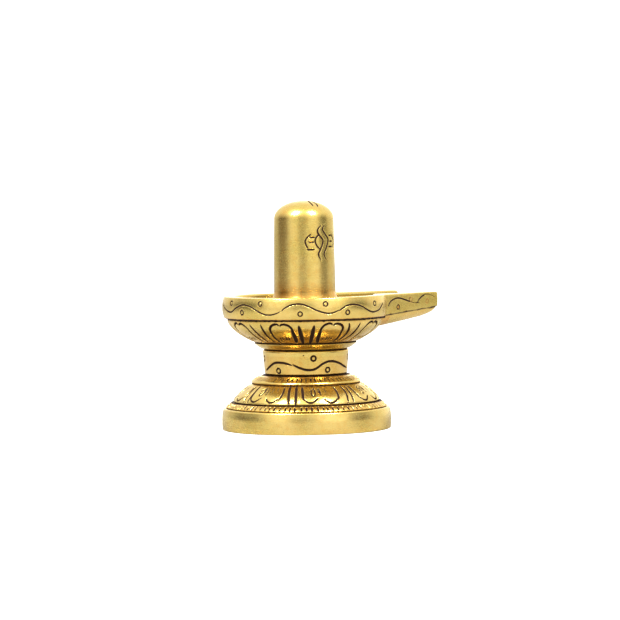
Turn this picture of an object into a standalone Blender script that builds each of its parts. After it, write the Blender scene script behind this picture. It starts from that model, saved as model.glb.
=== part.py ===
"""A small brass shivling, cast in one piece and chased by hand.

A turned pedestal with two rows of lotus petals and two rings of beads carries a round basin with a
pouring spout, and the lingam stands in the middle of the basin. Metres, +Z up, the spout along +X,
the origin in the middle of the foot, on the surface that it stands on.
"""

import math

import bmesh
import bpy
from mathutils import Matrix, Vector

# Foot and the turned rings above it: heights, and radii at the lower and upper edge
FOOT_HEIGHT = 0.0083
FOOT_RADIUS = 0.0320
FOOT_EDGE = 0.0008
LOW_BEADS_HEIGHT = 0.0021
LOW_BEADS_RADII = (0.0307, 0.0284)
LOTUS_HEIGHT = 0.0071
LOTUS_RADII = (0.0278, 0.0211)
HIGH_BEADS_HEIGHT = 0.0031
HIGH_BEADS_RADII = (0.0209, 0.0163)
WAIST_HEIGHT = 0.0096
WAIST_RADII = (0.0156, 0.0163)
COLLAR_HEIGHT = 0.0028
COLLAR_RADII = (0.0165, 0.0196)
BOWL_HEIGHT = 0.0092
BOWL_RADII = (0.0201, 0.0295)

# Basin: the band round it, its wall and its floor
BAND_HEIGHT = 0.0082
BAND_RADIUS = 0.0313
BAND_LEAN = 0.0008
BAND_EDGE = 0.0006
BASIN_RADIUS = 0.0262
BASIN_DEPTH = 0.0046
BASIN_FILLET = 0.0015

# Lingam: a shaft with a slight taper, a low dome and a hollow fillet that starts above the rim
SHAFT_RADII = (0.01165, 0.0113)
SHAFT_HEIGHT = 0.0288
DOME_HEIGHT = 0.0069
DOME_SQUARENESS = 2.05
SHAFT_FILLET = 0.0064

# Spout: its reach from the axis to the lip, and the keel that stiffens it from below
SPOUT_REACH = 0.0528
SPOUT_ROOT_X = 0.0215
SPOUT_ROOT_HALF_WIDTH = 0.0227
SPOUT_ROOT_HEIGHT = 0.0079
SPOUT_LIP_HALF_WIDTH = 0.0144
SPOUT_LIP_HEIGHT = 0.0057
SPOUT_SINK = 0.0080
LIP_ROUNDING = 0.0011
CHANNEL_HALF_WIDTH = 0.0106
CHANNEL_DEPTH = 0.0050
CHANNEL_START = 0.0205
KEEL_DEPTH = 0.0038
KEEL_PROW_DEPTH = 0.0027
KEEL_INSET = 0.0008
KEEL_SIDE_SLOPE = 0.0030
KEEL_SETBACK = 0.0012
PROW_LENGTH = 0.0050
PROW_DEPTH = 0.0010

# Carving of the rings
LOW_BEADS = 92
HIGH_BEADS = 68
BEAD_NOTCH = 0.0004
LOTUS_PETALS = 8
LOTUS_TURN = math.radians(-114.8)
BOWL_PETALS = 9
BOWL_TURN = math.radians(-106.0)
PETAL_GROOVE = 0.00045
SEAM_HALF_HEIGHT = 0.0003
SEAM_SLOPE = 2.0

# Chased lines: waves on the band, the waist and the spout, and the mark on the lingam
LINE_RADIUS = 0.00035
LINE_SINK = 0.00008
BAND_WAVES = 9
BAND_WAVE_RISE = 0.00185
BAND_WAVE_CREST = math.radians(-130.1)
BAND_WAVE_STOP = math.radians(51.0)
WAIST_WAVES = 5
WAIST_WAVE_LEVEL = 0.0038
WAIST_WAVE_RISE = 0.0014
WAIST_WAVE_CREST = math.radians(-87.8)
SPOUT_WAVE_LENGTH = 0.0173
SPOUT_WAVE_CREST = 0.0281
SPOUT_WAVE_RISE = 0.0014
SPOUT_WAVE_BELOW_RIM = 0.0028
WAVE_POINTS = 7
MARK_TURN = math.radians(-89.0)
MARK_ABOVE_RIM = 0.0202

# Sides of the turned shapes, and how far joined shapes run into each other
PLAIN_SIDES = 40
BAND_SIDES = 48
SHAFT_SIDES = 32
ARC_STEPS = 2
DOME_STEPS = 4
OVERLAP = 0.0010
CUTTER_RISE = 0.0040
MERGE = 1e-6

# Heights of the seams between the rings, from the foot up
LOW_BEADS_Z = FOOT_HEIGHT
LOTUS_Z = LOW_BEADS_Z + LOW_BEADS_HEIGHT
HIGH_BEADS_Z = LOTUS_Z + LOTUS_HEIGHT
WAIST_Z = HIGH_BEADS_Z + HIGH_BEADS_HEIGHT
COLLAR_Z = WAIST_Z + WAIST_HEIGHT
BOWL_Z = COLLAR_Z + COLLAR_HEIGHT
BAND_Z = BOWL_Z + BOWL_HEIGHT
RIM_Z = BAND_Z + BAND_HEIGHT

# Grid lines on one side of a petal, as shares of half its pitch: its outline, then the line beside it
LOTUS_OUTLINE = 0.62
LOTUS_SIDE_LINE = 0.89
LOTUS_GRID = (0.28, 0.54, LOTUS_OUTLINE, 0.70, 0.82, LOTUS_SIDE_LINE, 0.96)
BOWL_OUTLINE = 0.56
BOWL_SIDE_LINE = 0.80
BOWL_GRID = (0.27, 0.47, BOWL_OUTLINE, 0.65, 0.74, BOWL_SIDE_LINE, 0.87)

# The mark's strokes on the lingam, as (across, up) from its middle: a pair of waving lines, an eye's
# arc, and on each side three bars closed by a bracket
MARK_STROKES = (
    ((0.0001, 0.0067), (-0.0020, 0.0043), (-0.0012, 0.0024), (0.0004, 0.0003), (-0.0008, -0.0028),
     (-0.0017, -0.0048), (-0.0004, -0.0075)),
    ((0.0017, 0.0067), (0.0002, 0.0048), (0.0016, 0.0027), (0.0031, 0.0006), (0.0017, -0.0028),
     (0.0008, -0.0046), (0.0022, -0.0075)),
    ((-0.0022, 0.0024), (-0.0034, 0.0001), (-0.0021, -0.0026)),
    ((-0.0052, 0.0029), (-0.0074, 0.0003), (-0.0066, -0.0024)),
    ((-0.0057, 0.0016), (-0.0037, 0.0016)),
    ((-0.0062, -0.0002), (-0.0041, -0.0002)),
    ((-0.0066, -0.0031), (-0.0038, -0.0031)),
    ((0.0052, 0.0028), (0.0074, 0.0003), (0.0066, -0.0024)),
    ((0.0036, 0.0023), (0.0050, 0.0023)),
    ((0.0041, 0.0001), (0.0058, 0.0001)),
    ((0.0034, -0.0019), (0.0056, -0.0019)),
)


def clear_scene():
    for obj in list(bpy.data.objects):
        bpy.data.objects.remove(obj)


def new_collection(name):
    collection = bpy.data.collections.new(name)
    bpy.context.scene.collection.children.link(collection)
    return collection


def brass():
    material = bpy.data.materials.new("satin brass")
    material.use_nodes = True
    shader = material.node_tree.nodes["Principled BSDF"]
    shader.inputs["Base Color"].default_value = (0.60, 0.41, 0.12, 1.0)
    shader.inputs["Metallic"].default_value = 1.0
    shader.inputs["Roughness"].default_value = 0.32
    return material


def between(ends, share):
    return ends[0] + (ends[1] - ends[0]) * share


def on_circle(radius, angle, height):
    return Vector((radius * math.cos(angle), radius * math.sin(angle), height))


def quarter_arc(centre, radii, start, steps):
    """Points of a quarter of an ellipse about centre, from the angle start on, turning clockwise."""
    angles = [start - math.pi / 2 * i / steps for i in range(steps + 1)]
    return [(centre[0] + radii[0] * math.cos(a), centre[1] + radii[1] * math.sin(a)) for a in angles]


def made_mesh(obj, name):
    """The object as its modifiers or its bevel make it, as a mesh object of its own."""
    bpy.context.scene.collection.objects.link(obj)
    graph = bpy.context.evaluated_depsgraph_get()
    mesh = bpy.data.meshes.new_from_object(obj.evaluated_get(graph))
    place = obj.matrix_world.copy()
    bpy.data.objects.remove(obj)
    made = bpy.data.objects.new(name, mesh)
    made.matrix_world = place
    return made


def closed(obj):
    """Welds loose caps, fills open ends with flat faces and turns every face outwards."""
    shape = bmesh.new()
    shape.from_mesh(obj.data)
    bmesh.ops.remove_doubles(shape, verts=shape.verts, dist=MERGE)
    bmesh.ops.holes_fill(shape, edges=shape.edges, sides=0)
    bmesh.ops.recalc_face_normals(shape, faces=shape.faces)
    shape.to_mesh(obj.data)
    shape.free()
    return obj


def turned(name, outline, sides):
    """A closed body turned about Z from (radius, height) points that run down its outer side."""
    mesh = bpy.data.meshes.new(name)
    points = [(radius, 0, height) for radius, height in outline]
    mesh.from_pydata(points, [(i, i + 1) for i in range(len(points) - 1)], [])
    profile = bpy.data.objects.new(name + " profile", mesh)
    screw = profile.modifiers.new("turn", "SCREW")
    screw.steps = screw.render_steps = sides
    screw.use_merge_vertices = True
    screw.merge_threshold = MERGE
    return closed(made_mesh(profile, name))


def extruded(name, outline, axes, half_length):
    """A flat outline, given along the first two of the axes and extruded both ways along the third."""
    curve = bpy.data.curves.new(name, "CURVE")
    curve.dimensions = "2D"
    curve.fill_mode = "BOTH"
    curve.extrude = half_length
    spline = curve.splines.new("POLY")
    spline.points.add(len(outline) - 1)
    for point, (along, up) in zip(spline.points, outline):
        point.co = (along, up, 0, 1)
    spline.use_cyclic_u = True
    prism = made_mesh(bpy.data.objects.new(name, curve), name)
    for vertex in prism.data.vertices:
        place = Vector()
        for axis, value in zip(axes, vertex.co):
            place[axis] = value
        vertex.co = place
    return closed(prism)


def hull(name, points):
    mesh = bpy.data.meshes.new(name)
    shape = bmesh.new()
    for point in points:
        shape.verts.new(point)
    bmesh.ops.convex_hull(shape, input=shape.verts)
    shape.to_mesh(mesh)
    shape.free()
    return closed(bpy.data.objects.new(name, mesh))


def line_cutter(name, lines, is_loop=False):
    """Four-sided wires through points just under a surface, which chase lines there."""
    curve = bpy.data.curves.new(name, "CURVE")
    curve.dimensions = "3D"
    curve.bevel_depth = LINE_RADIUS
    curve.bevel_resolution = 0
    curve.use_fill_caps = not is_loop
    for line in lines:
        spline = curve.splines.new("POLY")
        spline.points.add(len(line) - 1)
        for point, place in zip(spline.points, line):
            point.co = (*place, 1)
        spline.use_cyclic_u = is_loop
    return closed(made_mesh(bpy.data.objects.new(name, curve), name))


def add_boolean(body, operation, other, helpers, solver="EXACT"):
    helpers.objects.link(other)
    other.hide_render = True
    other.display_type = "WIRE"
    boolean = body.modifiers.new(other.name, "BOOLEAN")
    boolean.operation = operation
    boolean.solver = solver
    boolean.object = other


def ring_outline(radius_at, bottom, height):
    """The outline of one ring. Past either end it leans in, to make the seam with the next ring."""
    def outline_at(share):
        inside = min(max(share, 0.0), 1.0)
        start = bottom + SEAM_HALF_HEIGHT
        span = height - 2 * SEAM_HALF_HEIGHT
        return radius_at(inside) - abs(share - inside) * span * SEAM_SLOPE, start + span * share

    return outline_at


def past_end(height):
    """The share of a ring's height by which it runs into the next ring."""
    return (OVERLAP + SEAM_HALF_HEIGHT) / (height - 2 * SEAM_HALF_HEIGHT)


def carved_ring(name, outline_at, row_count, repeats, turn, grid, carve):
    """A turned ring whose grid lines are moved to follow its carving.

    grid gives the offsets of the lines across one repeat, as shares of half its pitch. carve gives,
    for an offset and a row, the row's share of the ring's height and its depth.
    """
    columns = repeats * len(grid)
    rows = [outline_at(1 - row / (row_count - 1)) for row in range(row_count)]
    ring = turned(name, rows, columns)
    step = 2 * math.pi / columns
    for vertex in ring.data.vertices:
        column = round(math.atan2(vertex.co.y, vertex.co.x) / step) % columns
        row = min(range(row_count), key=lambda i: abs(rows[i][1] - vertex.co.z))
        repeat, line = divmod(column, len(grid))
        share, depth = carve(grid[line], row)
        radius, height = outline_at(share)
        angle = turn + (repeat + grid[line] / 2) * 2 * math.pi / repeats
        vertex.co = on_circle(radius - depth, angle, height)
    return ring


def both_sides(grid):
    return tuple(-offset for offset in reversed(grid)) + (0.0,) + tuple(grid)


def foot():
    inner = FOOT_RADIUS - FOOT_EDGE
    edge = quarter_arc((inner, FOOT_HEIGHT - FOOT_EDGE), (FOOT_EDGE, FOOT_EDGE), math.pi / 2, 2)
    return turned("foot", edge + [(FOOT_RADIUS, 0.0)], PLAIN_SIDES)


def bead_ring(name, beads, radii, bottom, height, bulge, shares):
    """A leaning ring of beads with a flat top: between each two, a grid line is notched in."""
    def outline_at(share):
        return between(radii, max(share, 0.0) ** bulge), bottom + height * share

    rows = (*shares, -OVERLAP / height)

    def carve(offset, row):
        return rows[row], BEAD_NOTCH if offset else 0.0

    return carved_ring(name, outline_at, len(rows), beads, 0.0, (0.0, 1.0), carve)


def lotus_ring():
    """Petals that hang down and end in two scallops, with a pair of lines between each two."""
    outline_at = ring_outline(lambda share: between(LOTUS_RADII, share ** 1.5), LOTUS_Z, LOTUS_HEIGHT)
    past = past_end(LOTUS_HEIGHT)

    def carve(offset, row):
        side = abs(offset)
        dip = 0.10 * math.cos(math.pi * side / LOTUS_OUTLINE) ** 2
        tip = 0.20 + dip
        shares = (1 + past, 1.0, 0.62, tip + 0.10, tip, tip - 0.10, -past)
        on_outline = side == LOTUS_OUTLINE and 1 <= row <= 4
        on_tip = side <= LOTUS_OUTLINE and row == 4
        on_side_line = side == LOTUS_SIDE_LINE and 1 <= row <= 5
        return shares[row], PETAL_GROOVE if on_outline or on_tip or on_side_line else 0.0

    return carved_ring("lotus", outline_at, 7, LOTUS_PETALS, LOTUS_TURN, both_sides(LOTUS_GRID), carve)


def bowl_ring():
    """Petals that stand up with a notched top, with a pair of gouges between each two."""
    outline_at = ring_outline(lambda share: between(BOWL_RADII, 1 - (1 - share) ** 1.85),
                              BOWL_Z, BOWL_HEIGHT)
    past = past_end(BOWL_HEIGHT)

    def carve(offset, row):
        side = abs(offset)
        notch = 0.09 * max(0.0, 1 - side / BOWL_GRID[0])
        shoulder = 0.80 * max(0.0, side / BOWL_OUTLINE - 0.5) ** 2
        tip = 0.88 - notch - shoulder if side <= BOWL_OUTLINE else 0.80
        shares = (1 + past, 1.0, tip, tip - 0.12, 0.38, -past)
        on_outline = side == BOWL_OUTLINE and 2 <= row <= 4
        on_tip = side <= BOWL_OUTLINE and row == 2
        on_side_line = side == BOWL_SIDE_LINE and 2 <= row <= 4
        return shares[row], PETAL_GROOVE if on_outline or on_tip or on_side_line else 0.0

    return carved_ring("bowl", outline_at, 6, BOWL_PETALS, BOWL_TURN, both_sides(BOWL_GRID), carve)


def plain_ring(name, radii, bottom, height, bulge, shares):
    outline_at = ring_outline(lambda share: between(radii, share ** bulge), bottom, height)
    past = past_end(height)
    return turned(name, [outline_at(share) for share in (1 + past, *shares, -past)], PLAIN_SIDES)


def band_radius_at(height):
    """The band leans in a little below and above its fullest height, near its middle."""
    share = (height - BAND_Z) / BAND_HEIGHT
    return BAND_RADIUS - BAND_LEAN * abs(2 * share - 1) ** 2.5


def band():
    upper = RIM_Z - BAND_EDGE
    inner = band_radius_at(upper) - BAND_EDGE
    outline = quarter_arc((inner, upper), (BAND_EDGE, BAND_EDGE), math.pi / 2, 2)
    for share in (0.62, 0.30):
        outline.append((band_radius_at(BAND_Z + BAND_HEIGHT * share), BAND_Z + BAND_HEIGHT * share))
    lower = BAND_Z + SEAM_HALF_HEIGHT
    outline.append((band_radius_at(lower), lower))
    outline.append((band_radius_at(lower) - (OVERLAP + SEAM_HALF_HEIGHT) * SEAM_SLOPE, BAND_Z - OVERLAP))
    return turned("band", outline, BAND_SIDES)


def spout_half_width_at(x):
    taper = (SPOUT_ROOT_HALF_WIDTH - SPOUT_LIP_HALF_WIDTH) / (SPOUT_REACH - SPOUT_ROOT_X)
    return SPOUT_LIP_HALF_WIDTH + (SPOUT_REACH - x) * taper


def spout_bottom_at(x):
    share = (x - SPOUT_ROOT_X) / (SPOUT_REACH - SPOUT_ROOT_X)
    return RIM_Z - between((SPOUT_ROOT_HEIGHT, SPOUT_LIP_HEIGHT), share)


def spout_side():
    """The spout seen from the side, with its lip rounded above and bevelled below."""
    root = SPOUT_ROOT_X - SPOUT_SINK
    corner = SPOUT_REACH - LIP_ROUNDING
    outline = [(root, RIM_Z)]
    outline += quarter_arc((corner, RIM_Z - LIP_ROUNDING), (LIP_ROUNDING, LIP_ROUNDING), math.pi / 2, 3)
    outline.append((SPOUT_REACH, spout_bottom_at(corner) + LIP_ROUNDING))
    outline.append((corner, spout_bottom_at(corner)))
    outline.append((root, spout_bottom_at(root)))
    return extruded("spout side", outline, (0, 2, 1), SPOUT_ROOT_HALF_WIDTH + CUTTER_RISE)


def spout_plan():
    """The spout seen from above: straight sides that close in towards the lip."""
    root = SPOUT_ROOT_X - SPOUT_SINK
    end = SPOUT_REACH + OVERLAP
    outline = [(root, -spout_half_width_at(root)), (end, -spout_half_width_at(end)),
               (end, spout_half_width_at(end)), (root, spout_half_width_at(root))]
    return extruded("spout", outline, (0, 1, 2), RIM_Z + CUTTER_RISE)


def keel():
    """A hull under the spout, set in from its sides, deep at the bowl and rising to a short prow."""
    prow_end = SPOUT_REACH - KEEL_SETBACK
    stations = ((SPOUT_ROOT_X - SPOUT_SINK, KEEL_DEPTH), (SPOUT_ROOT_X, KEEL_DEPTH),
                (prow_end - PROW_LENGTH, KEEL_PROW_DEPTH), (prow_end, PROW_DEPTH))
    points = []
    for x, depth in stations:
        top_half = spout_half_width_at(x) - KEEL_INSET
        bottom_half = top_half - KEEL_SIDE_SLOPE * depth / KEEL_DEPTH
        for side in (-1, 1):
            points.append((x, side * top_half, spout_bottom_at(x) + OVERLAP))
            points.append((x, side * top_half, spout_bottom_at(x)))
            points.append((x, side * bottom_half, spout_bottom_at(x) - depth))
    return hull("keel", points)


def basin_cutter():
    floor = RIM_Z - BASIN_DEPTH
    fillet = quarter_arc((BASIN_RADIUS - BASIN_FILLET, floor + BASIN_FILLET),
                         (BASIN_FILLET, BASIN_FILLET), 0.0, ARC_STEPS)
    return turned("basin", [(BASIN_RADIUS, RIM_Z + CUTTER_RISE)] + fillet, BAND_SIDES)


def channel_cutter():
    """The channel opens into the basin at its root and runs out past the lip."""
    low = RIM_Z - CHANNEL_DEPTH
    high = RIM_Z + CUTTER_RISE
    end = SPOUT_REACH + CUTTER_RISE
    place = Matrix.Translation(((CHANNEL_START + end) / 2, 0, (low + high) / 2))
    size = Matrix.Diagonal((end - CHANNEL_START, 2 * CHANNEL_HALF_WIDTH, high - low, 1))
    mesh = bpy.data.meshes.new("channel")
    shape = bmesh.new()
    bmesh.ops.create_cube(shape, size=1, matrix=place @ size)
    shape.to_mesh(mesh)
    shape.free()
    return bpy.data.objects.new("channel", mesh)


def lingam():
    floor = RIM_Z - BASIN_DEPTH
    shoulder = RIM_Z + SHAFT_HEIGHT
    outline = []
    for i in range(DOME_STEPS + 1):
        angle = math.pi / 2 * i / DOME_STEPS
        reach = math.sin(angle) ** (2 / DOME_SQUARENESS)
        rise = math.cos(angle) ** (2 / DOME_SQUARENESS)
        outline.append((SHAFT_RADII[1] * reach, shoulder + DOME_HEIGHT * rise))
    outline[0] = (0.0, shoulder + DOME_HEIGHT)
    centre = (SHAFT_RADII[0] + SHAFT_FILLET, floor + SHAFT_FILLET)
    for i in range(ARC_STEPS + 2):
        angle = math.pi / 2 * i / (ARC_STEPS + 1)
        across = centre[0] - SHAFT_FILLET * math.cos(angle)
        outline.append((across, centre[1] - SHAFT_FILLET * math.sin(angle)))
    outline.append((centre[0], floor - OVERLAP))
    return turned("lingam", outline, SHAFT_SIDES)


def shaft_radius_at(height):
    share = (height - RIM_Z) / SHAFT_HEIGHT
    return between(SHAFT_RADII, share)


def band_wave():
    """One wave round the band, from one side of the spout to the other."""
    sweep = 2 * math.pi - 2 * BAND_WAVE_STOP
    count = round(sweep / (2 * math.pi) * BAND_WAVES * WAVE_POINTS)
    points = []
    for i in range(count + 1):
        angle = BAND_WAVE_STOP + sweep * i / count
        swing = math.cos(BAND_WAVES * (angle - BAND_WAVE_CREST))
        height = BAND_Z + BAND_HEIGHT / 2 + BAND_WAVE_RISE * swing
        points.append(on_circle(band_radius_at(height) - LINE_SINK, angle, height))
    return points


def waist_wave():
    points = []
    for i in range(WAIST_WAVES * WAVE_POINTS):
        angle = 2 * math.pi * i / (WAIST_WAVES * WAVE_POINTS)
        swing = math.cos(WAIST_WAVES * (angle - WAIST_WAVE_CREST))
        share = (WAIST_WAVE_LEVEL + WAIST_WAVE_RISE * swing) / WAIST_HEIGHT
        radius = between(WAIST_RADII, share) - LINE_SINK
        points.append(on_circle(radius, angle, WAIST_Z + WAIST_HEIGHT * share))
    return points


def spout_wave(side):
    start = SPOUT_ROOT_X + OVERLAP
    end = SPOUT_REACH - LIP_ROUNDING
    count = round((end - start) / SPOUT_WAVE_LENGTH * WAVE_POINTS)
    points = []
    for i in range(count + 1):
        x = between((start, end), i / count)
        turns = (x - SPOUT_WAVE_CREST) / SPOUT_WAVE_LENGTH
        height = RIM_Z - SPOUT_WAVE_BELOW_RIM + SPOUT_WAVE_RISE * math.cos(2 * math.pi * turns)
        points.append(Vector((x, side * (spout_half_width_at(x) - LINE_SINK), height)))
    return points


def mark_stroke(stroke):
    """A stroke of the mark, wrapped round the lingam."""
    middle = RIM_Z + MARK_ABOVE_RIM
    placed = []
    for across, up in stroke:
        radius = shaft_radius_at(middle + up) - LINE_SINK
        placed.append(on_circle(radius, MARK_TURN + across / radius, middle + up))
    return placed


def shivling():
    """The whole casting: rings, band and spout joined, the basin cut, the lingam set in, lines chased."""
    parts = new_collection("shivling")
    helpers = new_collection("joined shapes and cutters")
    body = foot()
    body.name = "shivling"
    parts.objects.link(body)
    rings = (
        bead_ring("low beads", LOW_BEADS, LOW_BEADS_RADII, LOW_BEADS_Z, LOW_BEADS_HEIGHT, 1.0, (1.0,)),
        lotus_ring(),
        bead_ring("high beads", HIGH_BEADS, HIGH_BEADS_RADII, HIGH_BEADS_Z, HIGH_BEADS_HEIGHT, 2.2,
                  (1.0, 0.5)),
        plain_ring("waist", WAIST_RADII, WAIST_Z, WAIST_HEIGHT, 1.0, (1.0, 0.0)),
        plain_ring("collar", COLLAR_RADII, COLLAR_Z, COLLAR_HEIGHT, 0.8, (1.0, 0.5, 0.0)),
        bowl_ring(),
        band(),
    )
    for ring in rings:
        add_boolean(body, "UNION", ring, helpers)
    spout = spout_plan()
    add_boolean(spout, "INTERSECT", spout_side(), helpers)
    add_boolean(body, "UNION", spout, helpers)
    add_boolean(body, "UNION", keel(), helpers)
    add_boolean(body, "DIFFERENCE", basin_cutter(), helpers)
    add_boolean(body, "DIFFERENCE", channel_cutter(), helpers)
    add_boolean(body, "UNION", lingam(), helpers)
    waves = line_cutter("waves", [band_wave(), spout_wave(1), spout_wave(-1)])
    add_boolean(body, "DIFFERENCE", waves, helpers)
    add_boolean(body, "DIFFERENCE", line_cutter("waist wave", [waist_wave()], is_loop=True), helpers)
    mark = line_cutter("mark", [mark_stroke(stroke) for stroke in MARK_STROKES])
    add_boolean(body, "DIFFERENCE", mark, helpers, solver="MANIFOLD")
    body.data.materials.append(brass())
    body.data.shade_smooth()
    body.data.set_sharp_from_angle(angle=math.radians(30))


clear_scene()
shivling()
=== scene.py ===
"""Looks of the brass shivling: its rings, band, basin, spout and lingam with all the chased lines.

Shapes are worked out in millimetres and written into the meshes in metres, in the casting's own
frame: +Z up, the spout along +X, the origin in the middle of the foot.
"""
import math

import bpy
import numpy as np
from mathutils import Matrix, Vector


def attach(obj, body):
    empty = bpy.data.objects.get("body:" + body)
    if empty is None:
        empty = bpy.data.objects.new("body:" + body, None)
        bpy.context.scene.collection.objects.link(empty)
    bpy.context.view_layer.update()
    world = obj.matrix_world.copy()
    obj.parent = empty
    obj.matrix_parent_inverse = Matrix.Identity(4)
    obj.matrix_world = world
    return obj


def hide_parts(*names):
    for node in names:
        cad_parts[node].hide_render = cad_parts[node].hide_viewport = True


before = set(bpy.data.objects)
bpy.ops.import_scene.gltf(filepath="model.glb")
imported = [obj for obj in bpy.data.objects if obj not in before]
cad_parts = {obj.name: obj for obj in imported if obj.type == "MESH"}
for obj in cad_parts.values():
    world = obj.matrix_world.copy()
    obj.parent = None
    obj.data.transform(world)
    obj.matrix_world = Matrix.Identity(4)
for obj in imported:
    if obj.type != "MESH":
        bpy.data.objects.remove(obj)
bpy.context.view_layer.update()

MM = 0.001
CAST_NODE = "shivling"

# Heights of the seams between the rings, from the foot up
LOW_BEADS_Z = 8.3
LOTUS_Z = 10.4
HIGH_BEADS_Z = 17.5
WAIST_Z = 20.6
COLLAR_Z = 30.2
BOWL_Z = 33.0
BAND_Z = 42.2
RIM_Z = 50.4
SEAM_HALF_HEIGHT = 0.3
SEAM_EDGE_RUN = 0.7
SEAM_EDGE_INSET = 0.30
SEAM_TURN_IN = ((1.6, -0.5), (0.62, 0.0), (0.18, 0.16))

# Radii of the turned shapes, at the lower and upper edge
FOOT_RADIUS = 32.0
FOOT_EDGE = 0.9
LOW_BEADS_RADII = (30.7, 28.4)
LOTUS_RADII = (27.8, 21.1)
HIGH_BEADS_RADII = (20.9, 16.3)
WAIST_RADII = (15.6, 16.3)
COLLAR_RADII = (16.5, 19.6)
BOWL_RADII = (20.1, 29.5)
BAND_RADIUS = 31.3
BAND_LEAN = 0.8
BAND_EDGE = 0.6

# Basin, lingam and spout
BASIN_RADIUS = 26.2
BASIN_DEPTH = 4.6
BASIN_FILLET = 1.5
BASIN_FLARE = 0.9
SHAFT_RADII = (11.65, 11.3)
SHAFT_HEIGHT = 28.8
DOME_HEIGHT = 6.9
DOME_SQUARENESS = 2.05
SHAFT_FILLET = 6.4
SPOUT_REACH = 52.8
SPOUT_ROOT_X = 21.5
SPOUT_ROOT_HALF_WIDTH = 22.7
SPOUT_LIP_HALF_WIDTH = 14.4
SPOUT_ROOT_HEIGHT = 7.9
SPOUT_LIP_HEIGHT = 5.7
SPOUT_SINK = 8.0
SPOUT_EDGE = 0.45
LIP_ROUNDING = 1.1
CHANNEL_HALF_WIDTH = 10.6
CHANNEL_DEPTH = 5.0
CHANNEL_START = 20.5
CHANNEL_CORNER = 1.0
CHANNEL_FLARE = 1.1

# Keel under the spout: its depth at distances along X
KEEL_INSET = 0.8
KEEL_SIDE_SLOPE = 3.0
KEEL_X = (0.0, 21.5, 31.0, 38.0, 44.5, 48.5, 50.6, 51.6, 52.2)
KEEL_DEPTHS = (3.8, 3.8, 3.5, 3.2, 2.85, 2.3, 1.7, 1.0, 0.05)

# The side that faces the viewer, and the numbers of repeats round the rings
FRONT = -126.0
LOW_BEADS = 92
HIGH_BEADS = 68
LOTUS_PETALS = 8
LOTUS_TURN = 11.2
BOWL_PETALS = 9
BOWL_TURN = 20.0
BAND_WAVES = 9
WAIST_WAVES = 5

# Spacing of the meshes' grids on chased pieces, the foot and the lingam, and the sharpest smooth edge
FINE = 0.19
PLAIN = 0.20
SMOOTH = 1.05 * FINE
SHARP_ANGLE = 40.0

# Chasing: how much wider than its named half width a stroke and a punch cut, how high the burr beside
# it stands and how deep the hollow round it is, as shares of its depth
CHISEL = 1.35
PUNCH = 1.15
BURR = 0.20
DISH = 0.30


# ---- Lines and grids ----

def arc(centre, radii, start, end, steps):
    """Points of an ellipse's arc about its centre, from one angle to another, in degrees."""
    turn = np.radians(np.linspace(start, end, steps + 1))
    return np.column_stack([centre[0] + radii[0] * np.cos(turn), centre[1] + radii[1] * np.sin(turn)])


def length_along(points):
    """For each point of a line, how far along the line it lies."""
    return np.concatenate([[0.0], np.cumsum(np.hypot(*np.diff(points[:, :2], axis=0).T))])


def even(points, step):
    """The same line, with its points a step apart."""
    points = np.asarray(points, float)
    run = length_along(points)
    at = np.linspace(0, run[-1], max(int(round(run[-1] / step)), 1) + 1)
    return np.column_stack([np.interp(at, run, column) for column in points.T])


def through(points, per_span=14):
    """A smooth line through points: on each span a cubic, whose slope at a point is half the way
    from the point before it to the point after it."""
    points = np.asarray(points, float)
    padded = np.vstack([2 * points[0] - points[1], points, 2 * points[-1] - points[-2]])
    before, start, end, after = (padded[i:len(padded) - 3 + i, None] for i in range(4))
    t = np.linspace(0, 1, per_span, endpoint=False)[None, :, None]
    curve = 0.5 * (2 * start + (end - before) * t + (2 * before - 5 * start + 4 * end - after) * t ** 2
                   + (3 * start - before - 3 * end + after) * t ** 3)
    return np.vstack([curve.reshape(-1, points.shape[1]), points[-1]])


def ripple(angle, height, seed, waves=9):
    """A slow unevenness from 0 to 1 round a piece: the mean of sines with whole turns and chance phases."""
    dice = np.random.default_rng(seed)
    total = 0
    for turns in range(2, 2 + waves):
        total = total + np.sin(turns * angle + dice.uniform(0.1, 0.5) * height + dice.uniform(0, 6.28))
    return 0.5 + 0.5 * total / waves


def mesh_of(name, points, quads, triangles):
    """A mesh from whole arrays of points in millimetres, quads and triangles."""
    corners = np.concatenate([quads.ravel(), triangles.ravel()]).astype(np.int32)
    starts = np.concatenate([np.arange(len(quads)) * 4, len(quads) * 4 + np.arange(len(triangles)) * 3])
    mesh = bpy.data.meshes.new(name)
    mesh.vertices.add(len(points))
    mesh.vertices.foreach_set("co", (points * MM).astype(np.float32).ravel())
    mesh.loops.add(len(corners))
    mesh.loops.foreach_set("vertex_index", corners)
    mesh.polygons.add(len(starts))
    mesh.polygons.foreach_set("loop_start", starts.astype(np.int32))
    mesh.update(calc_edges=True)
    obj = bpy.data.objects.new(name, mesh)
    bpy.context.scene.collection.objects.link(obj)
    return obj


def wrapped_grid(rows, columns):
    """Quads of a grid whose last column joins its first."""
    row, column = np.meshgrid(np.arange(rows - 1), np.arange(columns), indexing="ij")
    right = (column + 1) % columns
    return np.stack([row * columns + column, row * columns + right,
                     (row + 1) * columns + right, (row + 1) * columns + column], axis=-1).reshape(-1, 4)


def closed_skin(name, grid, first, last):
    """A closed surface: a grid of loops, with a fan from each end loop to a point."""
    rows, columns = grid.shape[:2]
    points = np.vstack([grid.reshape(-1, 3), [first, last]])
    here = np.arange(columns)
    after = (here + 1) % columns
    low_fan = np.column_stack([np.full(columns, rows * columns), after, here])
    top = (rows - 1) * columns
    high_fan = np.column_stack([np.full(columns, rows * columns + 1), top + here, top + after])
    return mesh_of(name, points, wrapped_grid(rows, columns), np.vstack([low_fan, high_fan]))


# ---- Chasing ----

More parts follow.
